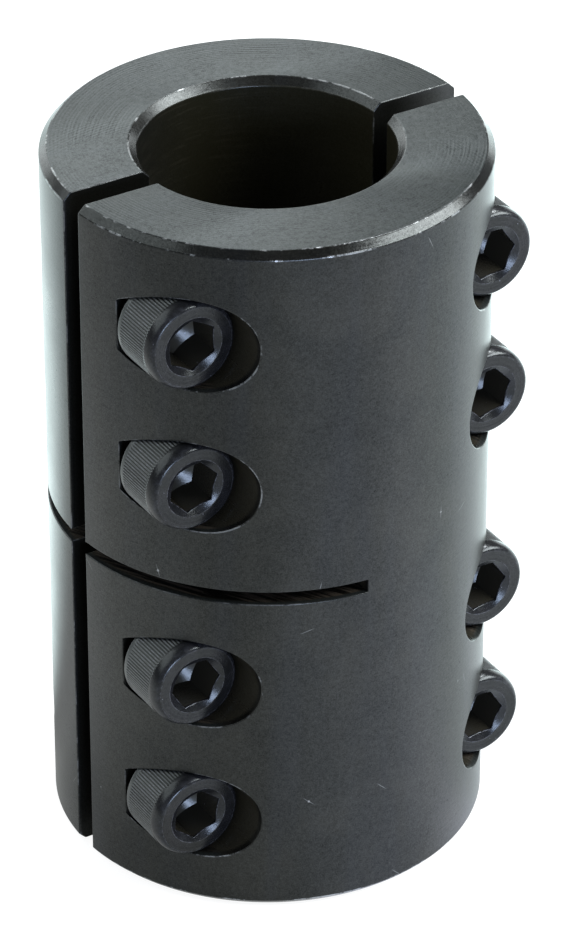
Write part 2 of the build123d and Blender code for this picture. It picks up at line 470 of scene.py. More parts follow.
class HalfSleeve(Shell):
    """Built with the split face at y = split and the metal at lower y.

    The split face has three areas, keyed 0 for the +X side, and 1 and -1 for the parts of
    the -X side above and below the slit.
    """

    def __init__(self, split, pockets):
        super().__init__()
        self.split, self.pockets = split, pockets
        self.ends = {}                              # turned ends, keyed 1 (top) and -1
        self.outlines = {}                          # outline of each split face area
        self.uprights = {R_OUT: {}, R_BORE: {}}     # long edge of each area, by radius
        self.turned_ends()
        self.right_edge()
        rims = {radius: self.slit_rim(radius) for radius in (R_OUT, R_BORE)}
        slit_edges = self.slit_walls(rims)
        self.left_edges(slit_edges)
        split_holes, outside_holes = self.screw_holes()
        for area, outline in self.outlines.items():
            self.patch([outline] + split_holes[area], flat(1, split, 1), 1.0)
        self.round_side(R_OUT, 0, rims[R_OUT], outside_holes)
        self.round_side(R_BORE, -1, rims[R_BORE], [])

    def turned_ends(self):
        self.profile = end_profile(self.pockets)
        radius, height, radial, axial = self.profile[:4, :, None]
        angle = np.arccos((EDGE - self.split) / radius) * np.linspace(-1, 1, 221)[None]
        for up in (1, -1):
            self.ends[up] = polar(radius, angle, up * height)
            self.grid(self.ends[up], polar(radial, angle, up * axial), self.profile[4])

    def profile_edge(self, side, up):
        """The split edge along an end's profile."""
        radius, height, radial, axial, _ = self.profile
        x = side * np.sqrt(radius**2 - self.split**2)
        sharp = vec(x, self.split, up * height)
        normal = unit(vec(radial * x / radius, up * axial))
        start = self.ends[up][:, -1 if side > 0 else 0]
        tilt = radial[:, None] * start[:, :2] / radius[:, None]
        return Bevel(
            sharp, start, sharp - EDGE * vec(normal[:, 0], 0, normal[:, 1]),
            vec(tilt[:, 0], tilt[:, 1], up * axial),
        )

    def upright(self, area, radius, z_from, z_to, taper_start=False, taper_end=False):
        """The split edge along the outside or the bore."""
        side, facing = 1 if area == 0 else -1, facing_of(radius)
        z = stations(z_from, z_to, 0.6, 0.5)
        sharp = vec(side * math.sqrt(radius**2 - self.split**2), self.split, z)
        width = edge_width(sharp, taper_start, taper_end)
        y = self.split - width
        start = vec(side * np.sqrt(radius**2 - y**2), y, z)
        self.uprights[radius][area] = start
        normal = vec(start[:, 0] / radius, start[:, 1] / radius, 0) * facing
        return Bevel(sharp, start, sharp - vec(side * facing * width, 0, 0), normal)

    def right_edge(self):
        """The closed edge round the +X split face."""
        z_out, z_in = self.profile[1, 0], self.profile[1, -1]
        edge = chain(
            self.profile_edge(1, 1),
            self.upright(0, R_BORE, z_in, -z_in).part(1, -1),
            self.profile_edge(1, -1).part(None, None, -1),
            self.upright(0, R_OUT, -z_out, z_out).part(1, -1),
        )
        self.strip(*edge, UP, wear=0.8, closed=True)
        self.outlines[0] = edge.end

    def slit_rim(self, radius):
        """The slit's edges on the outside or in the bore.

        Returns (start, end) rows keyed -1 for the lower edge, 1 for the upper, 0 for the end.
        """
        facing = facing_of(radius)
        first, last = -math.acos(-self.split / radius), math.asin(SLIT_END / radius)
        extra = first + np.array([0.15, 0.32]) / radius
        angle = np.sort(np.concatenate([stations(first, last, 0.5 / radius), extra]))
        rim = {}
        for up, z in SLIT_Z.items():
            sharp = polar(radius, angle, z)
            width = edge_width(sharp, True, False)
            start_angle = angle.copy()
            start_angle[-1] += EDGE / radius
            start = polar(radius, start_angle, z + up * width)
            end_angle = angle.copy()
            end_angle[-1] = math.asin(SLIT_END / (radius - facing * EDGE))
            end = polar(radius - facing * width, end_angle, z)
            normal = facing * polar(1, start_angle, 0)
            self.strip(sharp, start, end, normal, np.array([0.0, 0, -up]), wear=0.12)
            rim[up] = start, end
        z = np.linspace(*SLIT_Z.values(), 5)
        sharp = vec(SLIT_END, -math.sqrt(radius**2 - SLIT_END**2), z)
        start = polar(radius, last + EDGE / radius, z)
        start[0], start[-1] = rim[-1][0][-1], rim[1][0][-1]
        end = vec(SLIT_END, -math.sqrt((radius - facing * EDGE) ** 2 - SLIT_END**2), z)
        normal = facing * vec(start[:, 0] / radius, start[:, 1] / radius, 0)
        self.strip(sharp, start, end, normal, np.array([-1.0, 0, 0]), wear=0.9)
        rim[0] = start, end
        return rim

    def slit_walls(self, rims):
        """Floor, ceiling and square end of the slit. Returns its edges on the split face."""
        edges = {}
        end_y = stations(rims[R_OUT][-1][1][-1, 1], rims[R_BORE][-1][1][-1, 1], 1.0)
        x_limits = [-math.sqrt(radius**2 - self.split**2) for radius in (R_OUT, R_BORE)]
        for up, z in SLIT_Z.items():
            x = stations(*x_limits, 0.6, 0.5)
            sharp = vec(x, self.split, z)
            width = edge_width(sharp, True, True)
            start = vec(x, self.split - width, z)
            edges[up] = vec(x, self.split, z + up * width)
            self.strip(sharp, start, edges[up], np.array([0.0, 0, -up]), UP, wear=0.15)
            loop = np.concatenate([
                rims[R_OUT][up][1], vec(SLIT_END, end_y, z)[1:-1],
                rims[R_BORE][up][1][::-1], start[::-1][1:-1],
            ])
            self.patch([loop], flat(2, z, -up), 1.2)
        heights = np.linspace(*SLIT_Z.values(), 5)
        wall = np.stack([vec(SLIT_END, end_y, z) for z in heights])
        self.grid(wall, np.array([-1.0, 0, 0]))
        return edges

    def left_edges(self, slit_edges):
        """The edges of the -X split face, above and below the slit."""
        z_out, z_in = self.profile[1, 0], self.profile[1, -1]
        for up in (1, -1):
            edge = chain(
                self.upright(up, R_OUT, SLIT_Z[up], up * z_out, taper_start=True).part(0, -1),
                self.profile_edge(-1, up),
                self.upright(up, R_BORE, up * z_in, SLIT_Z[up], taper_end=True).part(1, None),
            )
            self.strip(*edge, UP, wear=0.22)
            self.outlines[up] = np.concatenate([edge.end, slit_edges[up][::-1][1:-1]])

    def screw_holes(self):
        """Returns the hole loops on each split face area, and those on the outside."""
        split_holes, outside_holes = {0: [], 1: [], -1: []}, []
        make = self.counterbored_hole if self.pockets else self.tapped_hole
        for screw in SCREWS:
            area = 0 if screw.x > 0 else (1 if screw.z > 0 else -1)
            mouth, rim = make(screw)
            split_holes[area].append(mouth)
            outside_holes.append(rim)
        return split_holes, outside_holes

    def counterbored_hole(self, screw):
        """A clearance hole with a counterbore that breaks out through the outside."""
        side = 1 if screw.x > 0 else -1
        angles = TURN[:-1]
        lip = 0.18      # how far the mouths of the clearance hole are broken

        def ring(radius, y):
            return vec(screw.x + radius * np.cos(angles), y, screw.z + radius * np.sin(angles))

        wall = vec(-np.cos(angles), 0, -np.sin(angles))
        mouth = ring(R_CLEAR + lip, self.split)
        below = ring(R_CLEAR, self.split - lip)
        self.strip(ring(R_CLEAR, self.split), mouth, below, UP, wall, wear=0.5, closed=True)
        levels = np.linspace(self.split - lip, SEAT_Y + lip, 7)
        self.grid(np.stack([ring(R_CLEAR, y) for y in levels]), wall, closed=True)
        seat_hole = ring(R_CLEAR + lip, SEAT_Y)
        above = ring(R_CLEAR, SEAT_Y + lip)
        self.strip(ring(R_CLEAR, SEAT_Y), above, seat_hole, wall, -UP, wear=0.5, closed=True)

        # curved rim of the counterbore on the outside
        first = math.acos((SEAT_EDGE_X - abs(screw.x)) / R_CBORE)
        last = 2 * math.pi - first
        close = np.array([0.01, 0.025])
        sweep = np.linspace(first, last, 121)
        sweep = np.sort(np.concatenate([sweep, first + close, last - close]))
        x = screw.x + side * R_CBORE * np.cos(sweep)
        x[0] = x[-1] = side * SEAT_EDGE_X
        rim = vec(x, -np.sqrt(R_OUT**2 - x**2), screw.z + R_CBORE * np.sin(sweep))
        rim[0, 1] = rim[-1, 1] = SEAT_Y
        width = edge_width(rim, True, True, 0.7)
        outer = spread(rim, screw, width)
        outer[0], outer[-1] = rim[0], rim[-1]
        inner = rim + vec(0, width, 0)
        wall = vec(-side * np.cos(sweep), 0, -np.sin(sweep))
        self.strip(rim, outer, inner, outward(outer), wall, wear=0.45)

        # wall of the counterbore, down to the seat
        t = np.linspace(0, 1, 9)[:, None, None]
        foot = vec(x, SEAT_Y, rim[:, 2])
        self.grid((1 - t) * inner + t * foot, wall)

        # straight edge where the seat runs out, and the seat
        z = stations(rim[-1, 2], rim[0, 2], 0.5, 0.4)
        sharp = vec(side * SEAT_EDGE_X, SEAT_Y, z)
        width = edge_width(sharp, True, True, 0.7)
        y = SEAT_Y + width
        runout = vec(side * np.sqrt(R_OUT**2 - y**2), y, z)
        seat_edge = vec(side * (SEAT_EDGE_X - width), SEAT_Y, z)
        self.strip(sharp, runout, seat_edge, outward(runout), -UP, wear=0.2)
        seat = np.concatenate([foot, seat_edge[1:-1]])
        self.patch([seat, seat_hole], flat(1, SEAT_Y, -1), 0.7)
        return mouth, np.concatenate([outer, runout[1:-1]])

    def tapped_hole(self, screw):
        """A threaded hole from the split face out through the outside."""
        countersink, lip, rim_width = 0.5, 0.08, 0.12
        r_minor = 2.76
        cosine, sine = np.cos(TURN), np.sin(TURN)

        def ring(radius, y):
            return vec(screw.x + radius * cosine, y, screw.z + radius * sine)

        # countersunk mouth on the split face
        wall = vec(-cosine, 0, -sine)
        cone = unit(wall + UP)
        mouth = ring(R_TAP + countersink + lip, self.split)
        on_cone = ring(R_TAP + countersink - lip * 0.7, self.split - lip * 0.7)
        self.strip(ring(R_TAP + countersink, self.split), mouth, on_cone, UP, cone, wear=0.5)
        y_top = self.split - countersink
        self.grid(np.stack([on_cone, ring(R_TAP, y_top)]), cone)

        # rim on the outside
        x = screw.x + R_TAP * cosine
        rim = ring(R_TAP, -np.sqrt(R_OUT**2 - x**2))
        outer = spread(rim, screw, rim_width, closed=True)
        outer[-1] = outer[0]
        inner = rim + vec(0, rim_width, 0)
        self.strip(rim, outer, inner, outward(outer), wall, wear=0.8)

        # threaded wall, in columns from the rim to the mouth; this frame's y is minus the true y
        columns = []
        for angle, y_rim in zip(TURN, inner[:, 1]):
            shift = (FACE_Y - THREAD_Z0) / PITCH - (angle - screw.turn) / (2 * math.pi)
            rows, y = thread_rows(shift, y_rim, y_top, top_margin=0.15)
            radius = r_minor + (R_TAP - r_minor) * trapezoid(rows / STEPS, 0.09)
            radius = np.maximum(radius, R_TAP - (y_top - y) * 0.9)      # countersunk start
            radius = np.maximum(radius, R_TAP - (y - y_rim) * 1.1)      # eased exit
            y = np.concatenate([[y_rim], y, [y_top]])
            radius = np.concatenate([[R_TAP], radius, [R_TAP]])
            c, s = math.cos(angle), math.sin(angle)
            radial, axial = column_normals(radius, y, -1)
            columns.append((
                np.concatenate([[-1e9], rows, [1e9]]),
                vec(screw.x + radius * c, y, screw.z + radius * s),
                vec(radial * c, axial, radial * s),
            ))
        self.zip_columns(columns)
        return mouth[:-1], outer[:-1]

    def round_side(self, radius, row, rim, holes):
        """The outside or the bore; row is where it meets the turned ends."""
        edges = {area: rising(points)[1:-1] for area, points in self.uprights[radius].items()}
        loop = np.concatenate([
            self.ends[1][row], edges[0][::-1], self.ends[-1][row][::-1], edges[-1],
            rim[-1][0], rim[0][0][1:-1], rim[1][0][::-1], edges[1],
        ])
        self.patch([loop] + holes, cylinder(radius), 0.7)


# ------------------------------------------------------------------ the cap screw
# Its own frame: axis Z, head face at z = 0 looking up +Z, a hexagon corner at angle 0.
HEAD_ANGLES = np.linspace(0, 2 * np.pi, 384, endpoint=False)
CROWN_H = 1.2           # height of the crowned rim
FOOT_ROUND = 0.22       # rounding of the head's lower edge
FILLET = 0.25           # between head and shank
R_RING = 4.15           # outside of the flat ring on the face


def socket(shell):
    """The hexagon socket with its countersink, and the flat ring round it."""
    angles, sixth = HEAD_ANGLES, math.pi / 3
    apothem = HEX_FLATS / 2
    r_corner = apothem / math.cos(sixth / 2) - 0.03     # corners are slightly blunted
    r_mouth, depth = 3.11, 4.05
    hex_lip, mouth_lip = 0.07, 0.06
    cone = math.radians(30)
    slope = math.tan(cone)
    from_corner = (angles + sixth / 2) % sixth - sixth / 2
    hexagon = np.minimum(apothem / np.cos(np.abs(from_corner) - sixth / 2), r_corner)
    side_angle = np.floor(angles / sixth) * sixth + sixth / 2

    # conical bottom, then the hexagon's walls
    def bottom(radius):
        return -(depth + (r_corner - radius) * slope)

    tilt = (-math.sin(cone), math.cos(cone))
    shares = (0.0, 0.4, 0.75, 1.0)
    shell.revolve([(hexagon * f, bottom(hexagon * f), *tilt) for f in shares], angles)
    z_sharp = -(r_mouth - hexagon) * slope
    z_foot, z_top = bottom(hexagon), z_sharp - hex_lip
    walls = [(hexagon, z_foot * (1 - t) + z_top * t, -1, 0) for t in np.linspace(0, 1, 7)]
    shell.revolve(walls, angles, facing=side_angle)

    # rounded rim of the hexagon, the countersink and its mouth
    cone_normal = around(tilt[0], angles, tilt[1])
    r_rim = hexagon + hex_lip
    rim = around(r_rim, angles, -(r_mouth - r_rim) * slope)
    shell.strip(
        around(hexagon, angles, z_sharp), around(hexagon, angles, z_top), rim,
        around(-1, side_angle, 0), cone_normal, wear=0.45, closed=True, steps=3,
    )
    mouth = around(r_mouth - mouth_lip, angles, -mouth_lip * slope)
    shell.grid(np.stack([rim, mouth]), cone_normal, closed=True)
    shell.strip(
        around(r_mouth, angles, 0), mouth, around(r_mouth + mouth_lip, angles, 0),
        cone_normal, np.array([0.0, 0, 1]), wear=0.22, closed=True, steps=3,
    )
    radii = np.linspace(r_mouth + mouth_lip, R_RING, 5)
    shell.revolve([(radius, 0, 0, 1) for radius in radii], angles)


def head_side(shell):
    """Crowned rim, knurled side, foot band and underside of the head."""
    angles = HEAD_ANGLES
    t = np.linspace(0, math.pi / 2, 13)
    crown_w = R_HEAD - R_RING
    crown = zip(
        R_RING + crown_w * np.sin(t), -(CROWN_H - CROWN_H * np.cos(t)),
        CROWN_H * np.sin(t), crown_w * np.cos(t),
    )
    # bright metal round the ring edge: partly worn edge, partly a painted highlight for a lamp glint
    # on a small ridge there; a faint band across the crown
    wear = 0.05 * np.exp(-(((t - 0.55) / 0.35) ** 2)) + 0.14 * np.exp(-((t / 0.12) ** 2))
    shell.revolve(list(crown), angles, wear)

    # knurl, faded out at both ends
    teeth, groove_depth = 96, 0.085
    tooth = np.abs(((angles * teeth / (2 * math.pi)) % 1.0) - 0.5) * 2  # 0 groove, 1 crest
    top, bottom = -CROWN_H, -(HEAD_H - 0.5)
    z = np.concatenate([
        np.linspace(top, top - 0.45, 6), np.linspace(top - 0.45, bottom + 0.35, 9)[1:],
        np.linspace(bottom + 0.35, bottom, 5)[1:],
    ])
    fade = np.clip((top - z) / 0.40, 0, 1) * np.clip((z - bottom) / 0.24, 0, 1)
    fade = (fade * fade * (3 - 2 * fade))[:, None]
    points = around(R_HEAD - groove_depth * fade * (1 - tooth) ** 1.2, angles, z[:, None])
    around_step = np.roll(points, -1, 1) - np.roll(points, 1, 1)
    normals = unit(np.cross(around_step, np.gradient(points, axis=0)))
    radial = around(1, angles, 0)
    normals *= np.sign((normals * radial).sum(-1))[..., None]
    normals[0] = normals[-1] = radial
    shell.grid(points, normals, 0.35 * fade * np.clip((tooth - 0.6) / 0.4, 0, 1), closed=True)

    # smooth foot band, rounded into the underside
    foot_z, foot_r = -HEAD_H + FOOT_ROUND, R_HEAD - FOOT_ROUND
    shell.revolve([(R_HEAD, z, 1, 0) for z in np.linspace(bottom, foot_z, 3)], angles)
    t = np.linspace(0, math.pi / 2, 6)
    c, s = np.cos(t), np.sin(t)
    foot = zip(foot_r + FOOT_ROUND * c, foot_z - FOOT_ROUND * s, c, -s)
    shell.revolve(list(foot), angles, np.sin(2 * t) * 0.5)
    outer = around(foot_r, angles, -HEAD_H)
    inner = around(R_SHANK + FILLET, TURN[:-1], -HEAD_H)
    shell.patch([outer, inner], flat(2, -HEAD_H, -1))


def shank(shell):
    """Fillet, neck, thread and tip."""
    z_neck, z_tip = -HEAD_H - FILLET, -(TIP_Y - FACE_Y)
    z_run = -HEAD_H - 1.5       # where the thread has run out
    r_tip, r_root = R_SHANK - 0.6, 2.69
    t = np.linspace(0, math.pi / 2, 5)
    c, s = np.cos(t), np.sin(t)
    fillet = zip(R_SHANK + FILLET - FILLET * s, z_neck + FILLET * c, s, -c)
    shell.revolve(list(fillet), TURN[:-1])
    columns = []
    for angle in TURN:
        shift = -THREAD_Z0 / PITCH - angle / (2 * math.pi)
        rows, z = thread_rows(shift, z_tip, z_run)
        radius = r_root + (R_SHANK - 0.012 - r_root) * trapezoid(rows / STEPS, 0.055)
        fade = np.clip((z_run - z) / (1.4 * PITCH), 0, 1)
        radius = R_SHANK * (1 - fade) + radius * fade
        radius = np.minimum(radius, r_tip + (z - z_tip) * 0.95)     # chamfered tip
        z = np.concatenate([[z_tip], z, [z_run, z_neck]])
        radius = np.concatenate([[r_tip], radius, [R_SHANK, R_SHANK]])
        radial, axial = column_normals(radius, z, 1)
        keys = np.concatenate([[-1e9], rows, [1e9, 2e9]])
        columns.append((keys, around(radius, angle, z), around(radial, angle, axial)))
    shell.zip_columns(columns)
    tip = np.stack([around(r_tip * share, TURN[:-1], z_tip) for share in (1, 0.5, 0)])
    shell.grid(tip, np.array([0.0, 0, -1]), closed=True)


def cap_screw(name):
    shell = Shell()
    socket(shell)
    head_side(shell)
    shank(shell)
    return shell.build(name)


# ------------------------------------------------------------------ build and place
def attach(obj, piece):
    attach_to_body(obj, piece)
    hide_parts(piece)


front = HalfSleeve(FRONT_SPLIT, pockets=True).build("front_shell")
rear = HalfSleeve(-REAR_SPLIT, pockets=False).build("rear_shell", mirror_y=True)
attach(front, "front_half")
attach(rear, "rear_half")

face_front = Matrix(((1, 0, 0), (0, 0, -1), (0, 1, 0))).to_4x4()    # screw's +Z to -Y
screw_mesh = None
for screw in SCREWS:
    label = screw.name.replace("clamp_screw", "cap_screw")
    obj = link(label, screw_mesh) if screw_mesh else cap_screw(label)
    screw_mesh = obj.data
    centre = Matrix.Translation(Vector((screw.x, FACE_Y, screw.z)) * MM)
    obj.matrix_world = centre @ face_front @ Matrix.Rotation(screw.turn, 4, "Z")
    attach(obj, screw.name)


# ------------------------------------------------------------------ node graphs
def operator(operation, swapped=False):
    def apply(self, other):
        pair = (other, self) if swapped else (self, other)
        return self.graph.math(operation, *pair)
    return apply


class Value:
    """An output socket that can be used in sums; each step of a sum adds a math node."""

    def __init__(self, graph, socket):
        self.graph, self.socket = graph, socket

    __add__, __radd__ = operator("ADD"), operator("ADD", swapped=True)
    __sub__, __rsub__ = operator("SUBTRACT"), operator("SUBTRACT", swapped=True)
    __mul__ = operator("MULTIPLY")

    def __abs__(self):
        return self.graph.math("ABSOLUTE", self)

    def ramp(self, start, end, low=0.0, high=1.0, interpolation="SMOOTHSTEP"):
        """Goes from low to high as the value goes from start to end."""
        inputs = dict(enumerate((self, start, end, low, high)))
        return self.graph.value("ShaderNodeMapRange", 0, inputs, interpolation_type=interpolation)


class Graph:
    """A new material, with short forms for its nodes."""

    def __init__(self, name):
        self.material = bpy.data.materials.new(name)
        self.material.use_nodes = True
        self.tree = self.material.node_tree
        self.tree.nodes.clear()

    def node(self, kind, inputs=(), **settings):
        made = self.tree.nodes.new(kind)
        for key, setting in settings.items():
            setattr(made, key, setting)
        for key, value in dict(inputs).items():
            if isinstance(value, Value):
                self.tree.links.new(value.socket, made.inputs[key])
            else:
                made.inputs[key].default_value = value
        return made

    def value(self, kind, output=0, inputs=(), **settings):
        return Value(self, self.node(kind, inputs, **settings).outputs[output])

    def math(self, operation, a, b=0.0):
        return self.value("ShaderNodeMath", 0, {0: a, 1: b, 2: 0.0}, operation=operation)

    def length(self, x, y):
        return self.math("SQRT", x * x + y * y)

    def xyz(self, x, y, z):
        return self.value("ShaderNodeCombineXYZ", 0, {0: x, 1: y, 2: z})

    def split(self, vector):
        made = self.node("ShaderNodeSeparateXYZ", {0: vector})
        return [Value(self, socket) for socket in made.outputs]

    def object_mm(self):
        """Object coordinates in mm."""
        place = self.value("ShaderNodeTexCoord", "Object")
        inputs = {0: place, "Scale": 1 / MM}
        return self.value("ShaderNodeVectorMath", 0, inputs, operation="SCALE")

    def noise(self, vector, scale=1.0, detail=2.0, rough=0.5, distortion=0.0):
        return self.value("ShaderNodeTexNoise", "Fac", {
            "Vector": vector, "Scale": scale, "Detail": detail, "Roughness": rough,
            "Distortion": distortion,
        })

    def voronoi(self, vector, scale):
        inputs = {"Vector": vector, "Scale": scale}
        made = self.node("ShaderNodeTexVoronoi", inputs, feature="F1")
        return [Value(self, made.outputs[key]) for key in ("Distance", "Color", "Position")]

    def blend(self, amount, under, over):
        """Numbers: under where amount is 0, over where it is 1."""
        return (1.0 - amount) * under + amount * over

    def mix(self, amount, under, over):
        """The same for colours."""
        under, over = ((*c, 1.0) if isinstance(c, tuple) else c for c in (under, over))
        inputs = {0: amount, 6: under, 7: over}
        return self.value("ShaderNodeMix", 2, inputs, data_type="RGBA")

    def bump(self, height, strength, distance):
        inputs = {"Height": height, "Strength": strength, "Distance": distance}
        return self.value("ShaderNodeBump", 0, inputs)

    def finish(self, inputs):
        """Adds the surface shader and returns the material."""
        self.node("ShaderNodeOutputMaterial", {0: self.value("ShaderNodeBsdfPrincipled", 0, inputs)})
        return self.material


# In the materials, factors inside xyz() set how many noise cells fit in a mm (or a radian) along
# each direction, and a lone number there picks a slice of the noise. Factors on patterns, often
# centred with - 0.5, set how strongly they show.

# ------------------------------------------------------------------ sleeve material
def ring_marks(g, x, y, radius, angle):
    """Tool rings on the end faces, with crossing arcs in places."""
    wobble = g.noise(g.xyz(x * 0.16, y * 0.16, 3.1), detail=1.0)
    wave = g.math("SINE", radius * 17.5 + wobble * 9.0)
    far = g.length(x + 11.0, y + 15.0)      # distance from the centre of the arcs
    arcs = g.math("SINE", far * 15.5 + wobble * 4.0) * wobble.ramp(start=0.5, end=0.64)
    uneven = g.noise(g.xyz(radius * 7.0, angle * 1.4, 0.7), detail=1.0)
    patches = g.noise(g.xyz(x * 0.085, y * 0.085, 8.3), detail=1.0)
    patches = patches.ramp(start=0.40, end=0.62, low=0.15, high=1.0)
    mottle = g.noise(g.xyz(x * 1.5, y * 1.5, 4.0), detail=2.0, rough=0.7)
    rings = (wave * 0.19 + arcs * 0.20) * patches + (uneven - 0.5) * (patches * 0.9)
    return rings + (mottle - 0.5) * (1.35 - patches)


def specks_and_scratches(g, arc, z, outside):
    """A few bright specks and short fine scratches on the turned outside."""
    cells = 0.26    # cells in a mm; each may hold a speck and a scratch
    distance, color, position = g.voronoi(g.xyz(arc * cells, z * cells, 0.0), scale=1.0)
    size, turn, chance = g.split(color)
    reach = size.ramp(start=0.55, end=1.0, low=0.0, high=0.034, interpolation="LINEAR")
    specks = (distance - reach).ramp(start=0.010, end=-0.006) * outside
    turn = (turn - 0.15) * 3.0
    dx = arc * cells - g.split(position)[0]
    dz = z * cells - g.split(position)[1]
    across = abs(dx * g.math("COSINE", turn) + dz * g.math("SINE", turn))
    along = abs(dz * g.math("COSINE", turn) - dx * g.math("SINE", turn))
    line = across.ramp(start=0.013, end=0.004) * along.ramp(start=0.24, end=0.06)
    return specks, line * (chance.ramp(start=0.93, end=0.96) * outside)


def bore_tone_and_painted_light(g, x, z, angle):
    # painted light and shade in the bore: a base lighter than the oxide stands for light reaching in,
    # darker towards +Z and on the -X side, lighter towards +X; the swirls are lighter machining marks
    # over it
    swirl = g.noise(g.xyz(z * 3.4, angle * 2.6, 6.0), detail=2.0, rough=0.6)
    tone = g.mix(z.ramp(start=-5.0, end=32.0),
                 under=(0.013, 0.012, 0.0075), over=(0.0085, 0.0078, 0.0042))
    tone = g.mix(x.ramp(start=2.0, end=-11.0), tone, over=(0.0040, 0.0040, 0.0034))
    tone = g.mix(x.ramp(start=5.0, end=10.5, high=0.5), tone, over=(0.022, 0.020, 0.012))
    return g.mix(swirl.ramp(start=0.52, end=0.68, high=0.16), tone, over=(0.034, 0.031, 0.022))


def sleeve_material():
    g = Graph("sleeve_black_oxide")
    place = g.object_mm()
    x, y, z = g.split(place)
    radius = g.length(x, y)
    angle = g.math("ARCTAN2", x, y * -1.0)
    arc = angle * R_OUT
    _, normal_y, normal_z = g.split(g.value("ShaderNodeNewGeometry", "True Normal"))
    level_face = abs(normal_z)      # 1 where a face looks along the axis

    # areas of the part
    end_face = level_face.ramp(start=0.9, end=0.97)
    outside = radius.ramp(start=R_OUT - 0.4, end=R_OUT - 0.1)
    outside = outside * (1.0 - level_face.ramp(start=0.1, end=0.4))
    split_face = abs(normal_y).ramp(start=0.97, end=0.995) * (1.0 - outside)
    in_bore = radius.ramp(start=R_BORE + 0.12, end=R_BORE + 0.02)
    chamfer = level_face.ramp(start=0.5, end=0.62) * level_face.ramp(start=0.9, end=0.8)
    sunk = radius.ramp(start=R_OUT - 0.35, end=R_OUT - 0.8)
    sunk = sunk * abs(z).ramp(start=HALF_LEN - 0.78, end=HALF_LEN - 0.9)
    far_right = x.ramp(start=14.5, end=21.5)

    # tool rings, and fine feed lines on the turned outside
    rings = ring_marks(g, x, y, radius, angle)
    feed = (g.noise(g.xyz(z * 6.5, angle * 1.2, radius), detail=1.0) - 0.5) * 0.7
    marks = g.blend(end_face, feed, rings)

    # cloudy patches, upright drifts and grain in the oxide
    cloud = g.noise(place, scale=0.13, detail=3.0, rough=0.6, distortion=0.5)
    drift = g.noise(g.xyz(arc * 0.20, z * 0.02, 5.0), detail=2.0, rough=0.6)
    fine = g.noise(place, scale=2.6, detail=3.0, rough=0.75)
    grit = g.noise(place, scale=8.0, detail=1.0, rough=0.6)

    # worn edges, chipped unevenly
    wear = g.value("ShaderNodeAttribute", "Fac", attribute_name="wear")
    nicks = g.noise(place, scale=1.1, detail=3.0, rough=0.75)
    stretches = g.noise(place, scale=0.21, detail=1.0, rough=0.6)
    chips = (nicks * 0.75 + stretches * 0.8).ramp(start=0.76, end=0.94)
    wear = (wear * chips) * (1.0 - in_bore * 0.8)
    specks, scratches = specks_and_scratches(g, arc, z, outside)
    bright = g.math("MAXIMUM", wear, g.math("MAXIMUM", specks * 0.5, scratches * 0.25))

    # colour: oxide, then each area over it
    tone = g.mix(cloud.ramp(start=0.35, end=0.7),
                 under=(0.0036, 0.0036, 0.0030), over=(0.0075, 0.0068, 0.0050))
    tone = g.mix(drift.ramp(start=0.4, end=0.75, high=0.6), tone, over=(0.0048, 0.0056, 0.0082))
    tone = g.mix(end_face * 0.55, tone, over=(0.014, 0.017, 0.017))
    tone = g.mix(chamfer * 0.6, tone, over=(0.001, 0.001, 0.001))
    tone = g.mix(grit.ramp(start=0.5, end=0.75) * 0.35, tone, over=(0.013, 0.012, 0.009))
    tone = g.mix(sunk, tone, over=(0.018, 0.016, 0.011))
    # painted shade and light on the split faces: dark where the other half shades them, lighter
    # towards the far +X side where light reaches in
    split_face_shade_and_light = g.mix(far_right, under=(0.0035, 0.0035, 0.0028), over=(0.026, 0.026, 0.025))
    tone = g.mix(split_face, tone, split_face_shade_and_light)
    # saw marks on the level walls of the cross slit
    saw = g.noise(g.xyz((x + y * 0.6) * 3.0, (y - x * 0.6) * 0.12, z), detail=1.0)
    saw_tone = g.mix(saw.ramp(start=0.47, end=0.58),
                     under=(0.004, 0.0035, 0.0028), over=(0.042, 0.034, 0.026))
    tone = g.mix(sunk * level_face.ramp(start=0.9, end=0.97), tone, saw_tone)
    tone = g.mix(in_bore, tone, bore_tone_and_painted_light(g, x, z, angle))

    # the inner and outer chamfers differ; they are told apart by radius
    rough = 0.31 + (cloud - 0.5) * 0.14 + (fine - 0.5) * 0.12 + end_face * 0.04
    rough = rough + chamfer * g.blend(radius.ramp(start=15.0, end=16.0), under=-0.03, over=-0.10)
    rough = (rough + split_face * 0.12) * (1.0 - bright * 0.25)

    # how strongly the oxide reflects: grain, cloud and turned rings show in it
    level = g.blend(end_face, under=0.5, over=0.425) + (fine - 0.5) * 0.62 + (grit - 0.5) * 0.70
    level = level + (cloud - 0.5) * g.blend(end_face, under=0.20, over=0.50)
    level = level + (drift - 0.5) * 0.10 + (rings * end_face) * 0.52
    # painted shade: the split faces reflect a quarter as much, except towards the far +X side
    level = level * g.blend(split_face * (1.0 - far_right), under=1.0, over=0.25)
    chamfer_level = g.blend(radius.ramp(start=15.0, end=16.0), under=1.12, over=0.93)
    level = level * g.blend(chamfer, under=1.0, over=chamfer_level)

    return g.finish({
        "Base Color": g.mix(bright, tone, over=(0.42, 0.43, 0.43)),
        "Metallic": bright * 0.9,
        "Roughness": rough,
        "IOR": 1.41,
        "Specular IOR Level": level,
        "Specular Tint": g.mix(end_face, under=(0.94, 0.99, 0.98), over=(0.87, 0.99, 1.0)),
        "Anisotropic": 0.12 + end_face * 0.45,
        "Tangent": g.value("ShaderNodeTangent", 0, direction_type="RADIAL", axis="Z"),
        "Normal": g.bump(marks * 0.8 + fine * 0.5, strength=0.5, distance=0.00003),
    })


